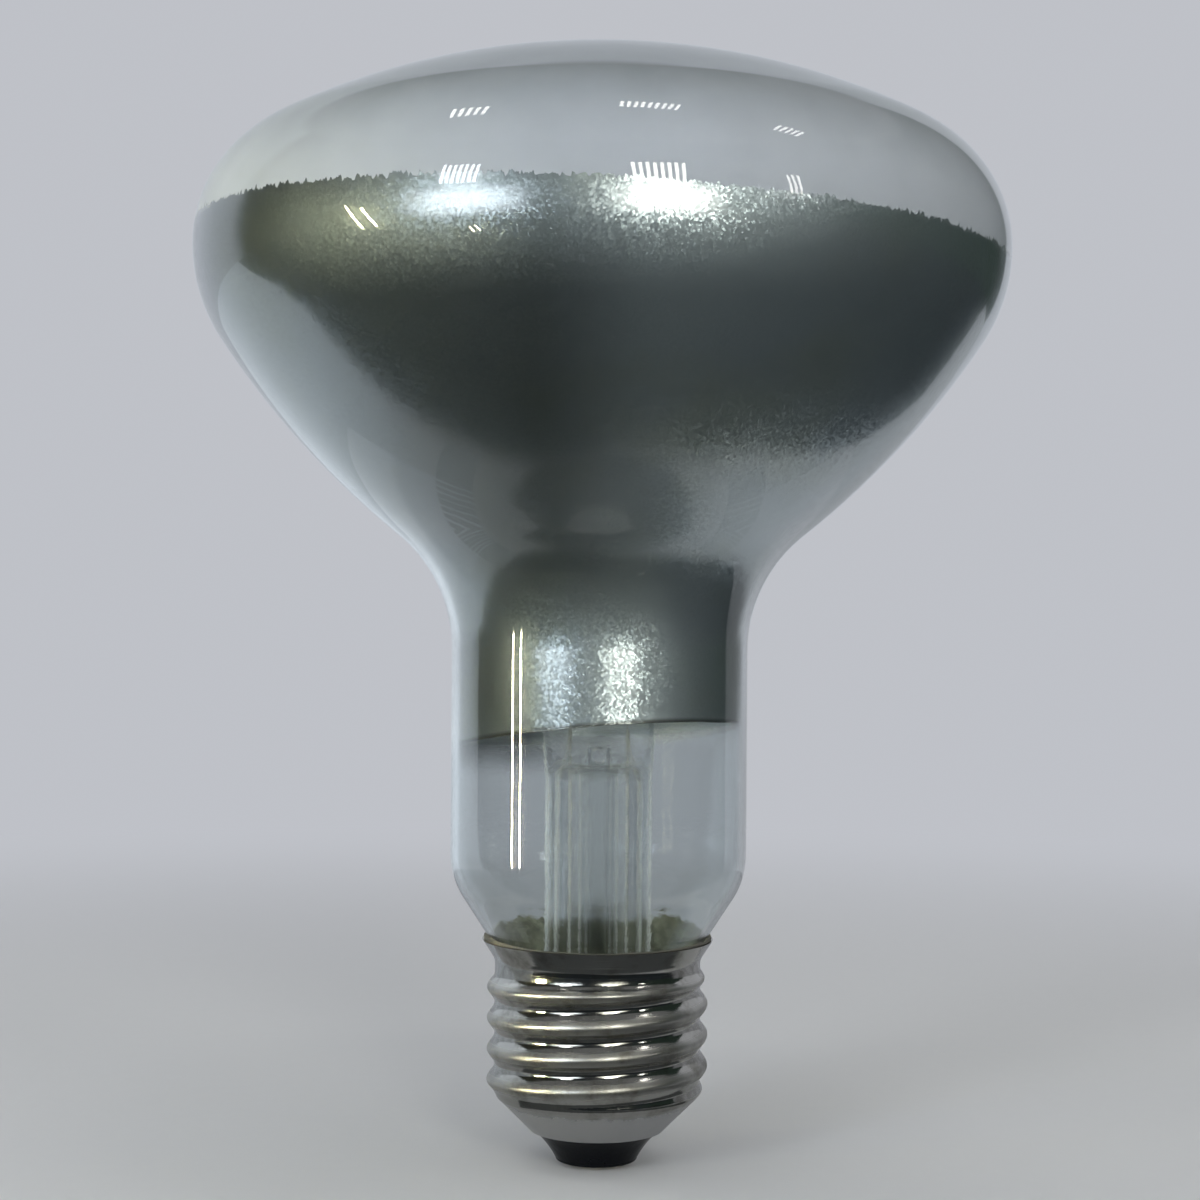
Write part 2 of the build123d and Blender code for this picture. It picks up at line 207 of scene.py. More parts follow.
# a half outline is drawn in the XZ plane by straight runs and bends, from a start and a heading in degrees
def drawOutline(bm, start, heading, runs, inset):
    tip = bm.verts.new((start[0] * mm, 0, start[1] * mm))
    for run in runs:
        ahead = Vector((cos(radians(heading)), 0, sin(radians(heading))))
        if "to" in run:
            tip = extrudeTo(bm, tip, Vector((tip.co.x, 0, run["to"] * mm)))
        elif "length" in run:
            tip = extrudeTo(bm, tip, tip.co + run["length"] * mm * ahead)
        else:
            side = 1 if run["turn"] > 0 else -1
            radius = (run["radius"] + side * inset) * mm
            middle = tip.co + side * radius * Vector((-ahead.z, 0, ahead.x))
            bend = bmesh.ops.spin(bm, geom=[tip], cent=middle, axis=(0, 1, 0),
                                  angle=-radians(run["turn"]), steps=run["steps"])
            tip = [made for made in bend["geom_last"] if isinstance(made, bmesh.types.BMVert)][0]
            heading += run["turn"]
    return tip


weld = 0.002 * mm


def spinRound(bm, steps):
    bmesh.ops.spin(bm, geom=bm.verts[:] + bm.edges[:], cent=(0, 0, 0), axis=(0, 0, 1),
                   angle=2 * pi, steps=steps, use_merge=True)
    bmesh.ops.remove_doubles(bm, verts=bm.verts, dist=weld)
    bmesh.ops.recalc_face_normals(bm, faces=bm.faces)


# lengths in the shapes' dictionaries are in millimetres
bulb = dict(apex=130.6, wall=0.8, around=192, middle=90.0, runs=[
    dict(radius=85.865, turn=-27.662, steps=22),
    dict(radius=15.0, turn=-62.338, steps=30),
    dict(radius=19.3, turn=-33.6, steps=16),
    dict(radius=98.298, turn=-17.9, steps=14),
    dict(radius=17.2, turn=51.5, steps=24),
    dict(to=36.698),
    dict(radius=9.5, turn=-33.0, steps=12),
    dict(length=8.599),
    dict(radius=3.0, turn=33.0, steps=8),
    dict(to=18.41)])

mirror = dict(inset=0.85, paintedShadeUp=0.12, around=256, runs=6, topHeight=109.2, topLean=2.4,
              footHeight=50.2, footSide=4.6, footFront=8.0, footReach=0.01, footRagged=0.12, raggedScale=900)


def mirrorFoot():
    toFront = Matrix.Rotation(radians(-mirror["footFront"]), 3, "X")
    toSide = Matrix.Rotation(radians(-mirror["footSide"]), 3, "Y")
    return Vector((0, 0, mirror["footHeight"] * mm)), toFront @ toSide @ Vector((0, 0, 1))


def overMirrorFoot(tree, where):
    foot, normal = mirrorFoot()
    return vectorMaths(tree, "DOT_PRODUCT", vectorMaths(tree, "SUBTRACT", where, foot), normal)


mirrorEdge = dict(height=108.1 * mm, lean=2.4, teeth=0.8 * mm, toothScale=120.0, toothRough=0.6, shift=0.004)


# height of a point over the mirror's leaning upper edge, with the edge's fine teeth
def overMirrorEdge(tree, where):
    parts = partsOf(tree, where)
    around = vectorMaths(tree, "NORMALIZE", flattened(tree, parts))
    around = vectorMaths(tree, "ADD", around, (0, 0, mirrorEdge["shift"]))  # off the noise's flat plane
    teeth = noiseAt(tree, around, mirrorEdge["toothScale"], 1.0, mirrorEdge["toothRough"])
    leaned = maths(tree, "MULTIPLY_ADD", parts["X"], tan(radians(mirrorEdge["lean"])), parts["Z"])
    over = maths(tree, "SUBTRACT", leaned, mirrorEdge["height"])
    return waver(tree, over, teeth, mirrorEdge["teeth"] * 2)


bulbClear = dict(colour=(0.76, 0.795, 0.8, 1), shade=(0.88, 0.9, 0.9, 1), ior=1.5,
                 wave=60.0, waveBump=0.008, waveDepth=2 * mm,
                 dust=1400.0, dustFrom=0.55, dustTo=0.8, dustRough=0.06)


def clearGlass():
    made, tree, where = newMaterial("clearGlass")
    waves = noiseAt(tree, where, bulbClear["wave"], 1.0)
    dust = noiseAt(tree, where, bulbClear["dust"], 2.0)
    dull = remap(tree, dust, bulbClear["dustFrom"], bulbClear["dustTo"], 0.0, bulbClear["dustRough"])
    surface = principled(tree, {
        "Base Color": bulbClear["colour"], "IOR": bulbClear["ior"],
        "Transmission Weight": 1.0, "Roughness": dull,
        "Normal": bumpFrom(tree, waves, bulbClear["waveBump"], bulbClear["waveDepth"])})
    finishMaterial(tree, letLightThrough(tree, surface, bulbClear["shade"]))
    return made


frost = dict(low=(0.44, 0.456, 0.495), high=(0.165, 0.183, 0.19), start=109 * mm, end=127 * mm,
             shade=(0.8, 0.8, 0.8, 1), rough=0.65, edge=0.04 * mm, cloud=160.0, cloudShare=0.35,
             grain=2600.0, grainBump=0.05, grainDepth=0.2 * mm,
             smokeAndShade=(0.26, 0.275, 0.27), smokeDepth=3.4 * mm, smokeWaver=1.5 * mm, smokeSide=8 * mm)


# the inside of the wall: milky over the dome with painted shade towards the top, bare below the mirror's
# edge, smoky with painted shade under its foot on the left
def frostedInside():
    made, tree, where = newMaterial("frostedInside")
    parts = partsOf(tree, where)
    cloud = noiseAt(tree, where, frost["cloud"], 4.0)
    # painted shade: the milk goes from the paler low colour to the dark high colour towards the top of the
    # dome
    rising = rampUp(tree, parts["Z"], frost["start"], frost["end"])
    paintedShadeUp = waver(tree, rising, cloud, frost["cloudShare"], clamp=True)
    milk = blendColour(tree, paintedShadeUp, frost["low"], frost["high"])
    # painted shade: a smoky film under the mirror's foot on the left, darkened further to stand for the dark
    # inside seen through
    below = waver(tree, overMirrorFoot(tree, where), cloud, frost["smokeWaver"])
    underFoot = rampUp(tree, below, -frost["smokeDepth"], 0.0)
    onLeft = rampUp(tree, parts["X"], frost["smokeSide"], -frost["smokeSide"])
    smokyShaded = multiply(tree, underFoot, onLeft)
    bare = blendColour(tree, smokyShaded, bulbClear["colour"][:3], frost["smokeAndShade"])
    milky = rampUp(tree, overMirrorEdge(tree, where), -frost["edge"], frost["edge"])
    grain = noiseAt(tree, where, frost["grain"])
    surface = principled(tree, {
        "Base Color": blendColour(tree, milky, bare, milk), "IOR": bulbClear["ior"],
        "Roughness": multiply(tree, milky, frost["rough"]),
        "Transmission Weight": maths(tree, "SUBTRACT", 1.0, milky),
        "Normal": bumpFrom(tree, grain, frost["grainBump"], frost["grainDepth"])})
    finishMaterial(tree, letLightThrough(tree, surface, frost["shade"]))
    return made


def bulbGlass():
    bm = bmesh.new()
    outer = drawOutline(bm, (0, bulb["apex"]), 0, bulb["runs"], 0)
    inner = drawOutline(bm, (0, bulb["apex"] - bulb["wall"]), 0, bulb["runs"], bulb["wall"])
    bm.edges.new((outer, inner))
    spinRound(bm, bulb["around"])
    middle = Vector((0, 0, bulb["middle"] * mm))
    for face in bm.faces:  # the inner wall has the second material
        face.material_index = int(face.normal.dot(face.calc_center_median() - middle) < 0)
    newPiece("bulbGlass", bm, [clearGlass(), frostedInside()], "glass_bulb")


mirrorFinish = dict(colour=(0.765, 0.815, 0.85), rough=0.36, grain=4600.0, tilt=0.155,
                    olive=(0.735, 0.77, 0.705), stain=38.0, stainFrom=0.5, stainTo=0.72,
                    sharpRough=0.14, sharpIor=2.6,
                    edgeShade=(0.2, 0.2, 0.19), edgeFrom=0.1 * mm, edgeTo=0.7 * mm,
                    front=-10 * mm, back=12 * mm, fadeFront=0.1 * mm, fadeBack=3.0 * mm)


# aluminium on frosted glass: a blurred image, with a fine grain that sparkles under a lamp
def mirrorMetal():
    made, tree, where = newMaterial("mirrorMetal")
    stain = noiseAt(tree, where, mirrorFinish["stain"])
    stained = rampUp(tree, stain, mirrorFinish["stainFrom"], mirrorFinish["stainTo"])
    colour = blendColour(tree, stained, mirrorFinish["colour"], mirrorFinish["olive"])
    over = overMirrorFoot(tree, where)
    pastEdge = rampUp(tree, over, mirrorFinish["edgeFrom"], mirrorFinish["edgeTo"])
    colour = blendColour(tree, pastEdge, mirrorFinish["edgeShade"], colour)
    fade = remap(tree, partsOf(tree, where)["Y"], mirrorFinish["front"], mirrorFinish["back"],
                 mirrorFinish["fadeFront"], mirrorFinish["fadeBack"])
    flakes = put(tree, "TexVoronoi", {"Vector": where, "Scale": mirrorFinish["grain"]}).outputs["Color"]
    centred = vectorMaths(tree, "SUBTRACT", flakes, (0.5, 0.5, 0.5))
    skin = put(tree, "NewGeometry").outputs["Normal"]
    tilted = vectorMaths(tree, "MULTIPLY_ADD", centred, (mirrorFinish["tilt"],) * 3, skin)
    glint = vectorMaths(tree, "NORMALIZE", tilted)
    surface = principled(tree, {
        "Base Color": colour, "Metallic": 1.0, "Roughness": mirrorFinish["rough"],
        "Alpha": maths(tree, "DIVIDE", over, fade, clamp=True),
        "Coat Weight": 1.0, "Coat Roughness": mirrorFinish["sharpRough"],
        "Coat IOR": mirrorFinish["sharpIor"], "Normal": glint, "Coat Normal": glint})
    finishMaterial(tree, surface)
    return made


def cutAway(bm, spot, normal, **side):
    everything = bm.verts[:] + bm.edges[:] + bm.faces[:]
    bmesh.ops.bisect_plane(bm, geom=everything, plane_co=spot, plane_no=normal, **side)


def mirrorCoat():
    bm = bmesh.new()
    drawOutline(bm, (0, bulb["apex"] - mirror["inset"]), 0, bulb["runs"][:mirror["runs"]], mirror["inset"])
    spinRound(bm, mirror["around"])
    topNormal = Matrix.Rotation(radians(mirror["topLean"]), 3, "Y") @ Vector((0, 0, 1))
    foot, footNormal = mirrorFoot()
    cutAway(bm, (0, 0, mirror["topHeight"] * mm), topNormal, clear_outer=True)
    cutAway(bm, foot, footNormal, clear_inner=True)
    for vert in bm.verts:  # the lower edge isn't quite clean
        if abs((vert.co - foot).dot(footNormal)) < mirror["footReach"] * mm:
            vert.co.z += mirror["footRagged"] * mm * noise.noise(vert.co * mirror["raggedScale"])
    bmesh.ops.solidify(bm, geom=bm.faces[:], thickness=mirror["paintedShadeUp"] * mm)
    newPiece("mirrorCoat", bm, [mirrorMetal()], "mirror_coating")


cement = dict(foot=19.42, inner=10.82, outer=11.84, around=240, rim=26.61, collarTurn=33.0,
              glassLand=22.678, glassBend=3.0, glassRun=3.05, overRun=0.35,
              shellLand=23.676, shellBend=2.3, rimInside=13.3,
              beadOut=13.45, beadFoot=0.08, top=0.55, beadDrop=0.15,
              looseFrom=0.2, lean=1.9, ragged=1.0, raggedScale=260, heapReach=12.0, heapLeast=0.1,
              lowest=0.05, glassAtRim=12.777, glassGap=0.03)

cementFinish = dict(pale=(0.45, 0.43, 0.31), dark=(0.17, 0.162, 0.11), rough=0.85,
                    lump=900.0, lumpRough=0.65, paleFrom=0.35, paleTo=0.65, lumpBump=0.5, lumpDepth=0.6 * mm,
                    pit=(0.012, 0.011, 0.008), pitScale=1500.0, pitFrom=0.12, pitTo=0.2,
                    rimShade=(0.09, 0.086, 0.07), rimShadeDepth=0.3, rimShadeFrom=6 * mm, rimShadeTo=-2 * mm)


# lumpy and pitted, with painted shade on the rim in front
def cementStuff():
    made, tree, where = newMaterial("cementStuff")
    lumps = noiseAt(tree, where, cementFinish["lump"], 5.0, cementFinish["lumpRough"])
    pits = put(tree, "TexVoronoi", {"Vector": where, "Scale": cementFinish["pitScale"]}).outputs["Distance"]
    paler = rampUp(tree, lumps, cementFinish["paleFrom"], cementFinish["paleTo"])
    colour = blendColour(tree, paler, cementFinish["dark"], cementFinish["pale"])
    outside = rampUp(tree, pits, cementFinish["pitFrom"], cementFinish["pitTo"])
    colour = blendColour(tree, outside, cementFinish["pit"], colour)
    parts = partsOf(tree, where)
    # painted shade: the top of the rim is darkened towards the front, where the gap by the glass is in shade
    onRim = rampUp(tree, parts["Z"], (cement["rim"] - cementFinish["rimShadeDepth"]) * mm, cement["rim"] * mm)
    inFront = rampUp(tree, parts["Y"], cementFinish["rimShadeFrom"], cementFinish["rimShadeTo"])
    surface = principled(tree, {
        "Base Color": blendColour(tree, multiply(tree, onRim, inFront), colour, cementFinish["rimShade"]),
        "Roughness": cementFinish["rough"],
        "Normal": bumpFrom(tree, lumps, cementFinish["lumpBump"], cementFinish["lumpDepth"])})
    finishMaterial(tree, surface)
    return made


# a ring between glass and shell, squeezed out unevenly over the rim
def basingCement():
    bm = bmesh.new()
    turn = cement["collarTurn"]
    rim = cement["rim"]
    glassRuns = [dict(to=cement["glassLand"]), dict(radius=cement["glassBend"], turn=-turn, steps=6),
                 dict(length=cement["glassRun"]), dict(length=cement["overRun"])]
    shellRuns = [dict(to=cement["shellLand"]), dict(radius=cement["shellBend"], turn=-turn, steps=5)]
    glassSide = drawOutline(bm, (cement["inner"], cement["foot"]), 90, glassRuns, 0)
    count = len(bm.verts)
    shellSide = drawOutline(bm, (cement["outer"], cement["foot"]), 90, shellRuns, 0)
    bm.verts.ensure_lookup_table()
    bm.edges.new((bm.verts[0], bm.verts[count]))
    bead = ((cement["rimInside"], rim), (cement["beadOut"], rim + cement["beadFoot"]),
            (cement["beadOut"], rim + cement["top"] - cement["beadDrop"]))
    for x, z in bead:
        shellSide = extrudeTo(bm, shellSide, (x * mm, 0, z * mm))
    bm.edges.new((shellSide, glassSide))
    spinRound(bm, cement["around"])
    slope = tan(radians(turn))
    for vert in bm.verts:
        if vert.co.z > (rim + cement["looseFrom"]) * mm:  # the part over the rim leans and is ragged
            heaped = min(max(vert.co.y / (cement["heapReach"] * mm) * 0.5 + 0.5, cement["heapLeast"]), 1.0)
            rough = noise.fractal(vert.co * cement["raggedScale"], 1.0, 2.1, 4)
            rise = vert.co.y * tan(radians(cement["lean"])) + rough * cement["ragged"] * heaped * mm
            vert.co.z = max(vert.co.z + rise, (rim + cement["lowest"]) * mm)
            flat = Vector((vert.co.x, vert.co.y, 0))
            least = (cement["glassAtRim"] + cement["glassGap"]) * mm + (vert.co.z - rim * mm) * slope
            reach = max(flat.length, least)
            around = flat.normalized()
            vert.co = Vector((around.x * reach, around.y * reach, vert.co.z))
    newPiece("cementRing", bm, [cementStuff()], "basing_cement")


metals = dict(
    tungsten=dict(colour=(0.2, 0.2, 0.21), rough=0.45, grain=(900, 900, 900), bump=0.1),
    leadMetal=dict(colour=(0.85, 0.83, 0.78), rough=0.45, grain=(4000, 4000, 300), bump=0.1),
    supportMetal=dict(colour=(0.5, 0.5, 0.52), rough=0.35, grain=(4000, 4000, 300), bump=0.1),
    solderMetal=dict(colour=(0.58, 0.58, 0.6), rough=0.38, grain=(900, 900, 900), bump=0.35),
    contactBrass=dict(colour=(0.66, 0.52, 0.28), rough=0.3, grain=(700, 700, 2000), bump=0.08))
metalStreaks = dict(shade=0.6, depth=0.2 * mm)


# drawn or soldered metal, with streaks or lumps by its grain
def plainMetal(name):
    metal = metals[name]
    made, tree, where = newMaterial(name)
    stretched = put(tree, "Mapping", {"Vector": where, "Scale": metal["grain"]}).outputs[0]
    streaks = noiseAt(tree, stretched, 1.0)
    darker = tuple(c * metalStreaks["shade"] for c in metal["colour"])
    surface = principled(tree, {
        "Base Color": blendColour(tree, streaks, darker, metal["colour"]), "Metallic": 1.0,
        "Roughness": metal["rough"], "Normal": bumpFrom(tree, streaks, metal["bump"], metalStreaks["depth"])})
    finishMaterial(tree, surface)
    return made


coil = dict(ring=8.0, height=79.4, start=-50.0, sweep=280.0, coilRadius=0.39, wire=0.055,
            sides=6, turns=150, steps=10)


# the filament is wound straight, then bent round into its ring
def filamentCoil():
    bm = bmesh.new()
    length = radians(coil["sweep"]) * coil["ring"] * mm
    spot = Matrix.Translation((coil["coilRadius"] * mm, 0, 0)) @ Matrix.Rotation(pi / 2, 4, "X")
    bmesh.ops.create_circle(bm, segments=coil["sides"], radius=coil["wire"] * mm, matrix=spot)
    steps = coil["turns"] * coil["steps"]
    bmesh.ops.spin(bm, geom=bm.verts[:] + bm.edges[:], cent=(0, 0, 0), axis=(0, 0, 1),
                   dvec=(0, 0, length / steps), angle=2 * pi * coil["turns"], steps=steps)
    bmesh.ops.holes_fill(bm, edges=bm.edges, sides=0)
    bmesh.ops.recalc_face_normals(bm, faces=bm.faces)
    for vert in bm.verts:
        turn = radians(coil["start"]) + vert.co.z / (coil["ring"] * mm)
        reach = coil["ring"] * mm + vert.co.x
        vert.co = (reach * cos(turn), reach * sin(turn), coil["height"] * mm + vert.co.y)
    newPiece("filamentCoil", bm, [plainMetal("tungsten")], "filament")


stemFinish = dict(tint=(0.985, 0.99, 0.987, 1), rough=0.02, ior=1.47, clear=0.6,
                  wave=220.0, waveBump=0.05, waveDepth=1 * mm,
                  edge=(0.9, 0.92, 0.9, 1), edgeFrom=0.5, edgeTo=0.85, edgeShare=0.5)


# thin drawn glass: much of what is behind it shows straight through, and its edges get a painted pale sheen
def stemGlass():
    made, tree, where = newMaterial("stemGlass")
    waves = noiseAt(tree, where, stemFinish["wave"], 1.0)
    glass = principled(tree, {
        "Base Color": stemFinish["tint"], "Roughness": stemFinish["rough"], "IOR": stemFinish["ior"],
        "Transmission Weight": 1.0,
        "Normal": bumpFrom(tree, waves, stemFinish["waveBump"], stemFinish["waveDepth"])})
    through = put(tree, "BsdfTransparent", {"Color": stemFinish["tint"]}).outputs[0]
    thin = mixShaders(tree, stemFinish["clear"], glass, through)
    # painted sheen: a pale diffuse on the edges that turn away stands in for the pale light the glass bends
    # through
    turned = put(tree, "LayerWeight", {"Blend": 0.5}).outputs["Facing"]
    onEdge = rampUp(tree, turned, stemFinish["edgeFrom"], stemFinish["edgeTo"])
    pale = put(tree, "BsdfDiffuse", {"Color": stemFinish["edge"]}).outputs[0]
    paintedSheenEdged = mixShaders(tree, multiply(tree, onEdge, stemFinish["edgeShare"]), thin, pale)
    finishMaterial(tree, letLightThrough(tree, paintedSheenEdged, stemFinish["tint"]))
    return made


shellFinish = dict(bright=(0.43, 0.425, 0.4), tarnish=(0.24, 0.235, 0.205),
                   cloud=300.0, cloudRough=0.62, cloudFrom=0.45, cloudTo=0.72, addedRough=0.08,
                   satin=(0.55, 0.55, 0.55), satinTop=7.5 * mm, satinSoft=0.4 * mm,
                   waver=1.2 * mm, waverScale=700.0,
                   threadTop=23.0 * mm, threadSoft=0.6 * mm, groove=12.45 * mm, crest=12.85 * mm,
                   grooveRough=0.11, crestRough=0.36,
                   scratch=(300, 300, 6000), scratchBump=0.04, scratchDepth=0.2 * mm)


# plated sheet: bright in the grooves, rubbed dull on the crests and the end cone, tarnished in clouds
def shellMetal():
    made, tree, where = newMaterial("shellMetal")
    parts = partsOf(tree, where)
    level = waver(tree, parts["Z"], noiseAt(tree, where, shellFinish["waverScale"]), shellFinish["waver"])
    satinTop, satinSoft = shellFinish["satinTop"], shellFinish["satinSoft"]
    satin = rampUp(tree, level, satinTop + satinSoft, satinTop - satinSoft)
    clouds = noiseAt(tree, where, shellFinish["cloud"], 5.0, shellFinish["cloudRough"])
    clouds = rampUp(tree, clouds, shellFinish["cloudFrom"], shellFinish["cloudTo"])
    plated = blendColour(tree, clouds, shellFinish["bright"], shellFinish["tarnish"])
    reach = vectorMaths(tree, "LENGTH", flattened(tree, parts))
    threadTop = shellFinish["threadTop"]
    onThread = rampUp(tree, parts["Z"], threadTop, threadTop - shellFinish["threadSoft"])
    rubbed = multiply(tree, onThread, rampUp(tree, reach, shellFinish["groove"], shellFinish["crest"]))
    dull = larger(tree, satin, rubbed)
    spare = shellFinish["crestRough"] - shellFinish["grooveRough"]
    rough = maths(tree, "MULTIPLY_ADD", dull, spare, shellFinish["grooveRough"])
    stretched = put(tree, "Mapping", {"Vector": where, "Scale": shellFinish["scratch"]}).outputs[0]
    scratches = noiseAt(tree, stretched, 1.0)
    surface = principled(tree, {
        "Base Color": blendColour(tree, satin, plated, shellFinish["satin"]), "Metallic": 1.0,
        "Roughness": maths(tree, "MULTIPLY_ADD", clouds, shellFinish["addedRough"], rough),
        "Normal": bumpFrom(tree, scratches, shellFinish["scratchBump"], shellFinish["scratchDepth"])})
    finishMaterial(tree, surface)
    return made


blackFinish = dict(colour=(0.004, 0.0045, 0.006, 1), ior=1.35, specular=0.2,
                   flow=500.0, roughLow=0.05, roughHigh=0.2, flowBump=0.12, flowDepth=0.6 * mm)


def blackGlass():
    made, tree, where = newMaterial("blackGlass")
    flow = noiseAt(tree, where, blackFinish["flow"])
    surface = principled(tree, {
        "Base Color": blackFinish["colour"], "IOR": blackFinish["ior"],
        "Specular IOR Level": blackFinish["specular"],
        "Roughness": remap(tree, flow, 0.0, 1.0, blackFinish["roughLow"], blackFinish["roughHigh"]),
        "Normal": bumpFrom(tree, flow, blackFinish["flowBump"], blackFinish["flowDepth"])})
    finishMaterial(tree, surface)
    return made


bulbGlass()
mirrorCoat()
basingCement()
filamentCoil()

paint("glass_stem", stemGlass())
paint("screw_shell", shellMetal())
paint("glass_insulator", blackGlass())
metalNodes = dict(leadMetal=("contact_lead_wire", "shell_lead_wire"),
                  supportMetal=("support_wire_1", "support_wire_2", "support_wire_3"),
                  solderMetal=("contact_solder", "rim_solder"),
                  contactBrass=("contact_plate",))
for metalName, nodeNames in metalNodes.items():
    metalMade = plainMetal(metalName)
    for nodeName in nodeNames:
        paint(nodeName, metalMade)
print("finishes on the other nodes")

# angles in degrees; left and right are the sides of the dark opening in front
room = dict(pale=(0.52, 0.535, 0.575), fill=(0.36, 0.37, 0.38), inMirror=(0.55, 0.585, 0.64),
            leftPanel=(0.6, 0.645, 0.71), panelFrom=-0.35, panelTo=-0.7,
            ceiling=(0.2, 0.205, 0.21), ceilingFrom=39.0, ceilingTo=43.0,
            left=-117.0, softLeft=5.0, right=150.0, softRight=1.5,
            darkLeft=(0.034, 0.037, 0.028), dark=(0.023, 0.029, 0.033), darkRight=(0.026, 0.04, 0.033),
            tintFrom=15.0, tintTo=75.0)


# the room is pale, and in what is shiny it is dark where the opening in front is
def paintRoom():
    world = bpy.data.worlds.new("room")
    bpy.context.scene.world = world
    world.use_nodes = True
    tree = world.node_tree
    tree.nodes.clear()
    way = partsOf(tree, put(tree, "TexCoord").outputs["Generated"])
    around = turnOf(tree, way)
    opening = between(tree, around, radians(room["left"]), radians(room["softLeft"]),
                      radians(room["right"]), radians(room["softRight"]))
    tintFrom, tintTo = radians(room["tintFrom"]), radians(room["tintTo"])
    dark = blendColour(tree, rampUp(tree, around, -tintTo, -tintFrom), room["darkLeft"], room["dark"])
    dark = blendColour(tree, rampUp(tree, around, tintFrom, tintTo), dark, room["darkRight"])
    onLeft = rampUp(tree, way["X"], room["panelFrom"], room["panelTo"])
    pale = blendColour(tree, onLeft, room["inMirror"], room["leftPanel"])
    walls = blendColour(tree, opening, pale, dark)
    rise = maths(tree, "ARCSINE", way["Z"])
    above = rampUp(tree, rise, radians(room["ceilingFrom"]), radians(room["ceilingTo"]))
    walls = blendColour(tree, above, walls, room["ceiling"])
    mirrored, seen = raysOf(tree)
    shown = blendColour(tree, mirrored, room["pale"], walls)
    light = blendColour(tree, seen, room["fill"], shown)
    back = put(tree, "Background", {"Color": light, "Strength": 1.0}).outputs[0]
    put(tree, "OutputWorld", {"Surface": back})


# the lines that bound the dark front are slope and start, y = slope * x + start
floorLook = dict(size=1.2, segments=96, pale=(0.7, 0.71, 0.73), speckle=400.0, speckleShade=0.98,
                 fadeFrom=0.1, fadeTo=0.42, mirrorFadeFrom=0.05, mirrorFadeTo=0.12,
                 inMirror=(0.415, 0.44, 0.47), inMirrorLeft=(0.8, 0.88, 0.96), leftFrom=-0.03, leftTo=-0.17,
                 shade=0.3, shadeFrom=0.075, shadeTo=0.028,
                 edges=((-0.638, -0.1374), (-0.3, -0.036), (0.21, -0.04), (0.6, -0.0508), (1.32, -0.0998)),
                 rightEdge=(1.86, -0.153), rightFar=(1.08, 0.017),
                 soft=0.008, startSoft=0.0008, endSoft=0.004,
                 wedges=(dict(left=-80.0, right=98.0, soft=1.5, start=0.0175, end=0.04, deep=0.86),
                         dict(left=-42.0, right=52.0, soft=18.0, start=0.03, end=1.0, deep=0.62)))


# painted shade on the floor, seen only in what is shiny: in the opening in front, a painted shadow close
# under the lamp, and in two wedges
def floorShade(tree, parts, away):
    lines = [maths(tree, "MULTIPLY_ADD", parts["X"], slope, start) for slope, start in
             (floorLook["rightEdge"], floorLook["rightFar"], *floorLook["edges"])]
    edge = maths(tree, "MINIMUM", lines[0], lines[1])
    for line in lines[2:]:
        edge = larger(tree, edge, line)
    ahead = maths(tree, "SUBTRACT", edge, parts["Y"])
    shaded = rampUp(tree, ahead, -floorLook["soft"], floorLook["soft"])
    close = rampUp(tree, away, floorLook["shadeFrom"], floorLook["shadeTo"])
    shaded = larger(tree, shaded, multiply(tree, close, floorLook["shade"]))
    turn = turnOf(tree, parts)
    for wedge in floorLook["wedges"]:
        soft = radians(wedge["soft"])
        across = between(tree, turn, radians(wedge["left"]), soft, radians(wedge["right"]), soft)
        ring = between(tree, away, wedge["start"], floorLook["startSoft"], wedge["end"], floorLook["endSoft"])
        shaded = larger(tree, shaded, multiply(tree, multiply(tree, ring, across), wedge["deep"]))
    return shaded


# a pale floor that runs out into the backdrop
def layFloor():
    made, tree, where = newMaterial("paleFloor")
    parts = partsOf(tree, where)
    away = vectorMaths(tree, "LENGTH", where)
    mirrored, seen = raysOf(tree)
    # painted shade and painted reflection: the floor changes colour only where it is seen in what is shiny
    dark = multiply(tree, mirrored, floorShade(tree, parts, away))
    speckle = noiseAt(tree, where, floorLook["speckle"])
    darker = tuple(c * floorLook["speckleShade"] for c in floorLook["pale"])
    paper = blendColour(tree, speckle, darker, floorLook["pale"])
    lit = put(tree, "BsdfDiffuse", {"Color": blendColour(tree, dark, paper, room["dark"])}).outputs[0]
    onLeft = rampUp(tree, parts["X"], floorLook["leftFrom"], floorLook["leftTo"])
    reflected = blendColour(tree, onLeft, floorLook["inMirror"], floorLook["inMirrorLeft"])
    beyond = blendColour(tree, mirrored, room["pale"], reflected)
    glow = put(tree, "Emission", {"Color": blendColour(tree, dark, beyond, room["dark"])}).outputs[0]
    faded = rampUp(tree, away, floorLook["fadeFrom"], floorLook["fadeTo"])
    sooner = rampUp(tree, away, floorLook["mirrorFadeFrom"], floorLook["mirrorFadeTo"])
    faded = larger(tree, faded, multiply(tree, mirrored, sooner))
    finishMaterial(tree, mixShaders(tree, multiply(tree, faded, seen), lit, glow))
    bm = bmesh.new()
    bmesh.ops.create_circle(bm, cap_ends=True, segments=floorLook["segments"], radius=floorLook["size"])
    floor = meshObject("floor", bm, [made])


bentCards = dict(reach=0.055, steps=64, leftFrom=-0.3, leftTo=-0.75, highFrom=0.043, highTo=0.049,
                 leftPale=(0.74, 0.81, 0.89), leftHigh=(0.98, 1.07, 1.16),
                 low=dict(start=83.6, end=290.0, height=0.026, bright=0.42),
                 tall=dict(start=98.5, end=268.2, height=0.062, bright=0.98))
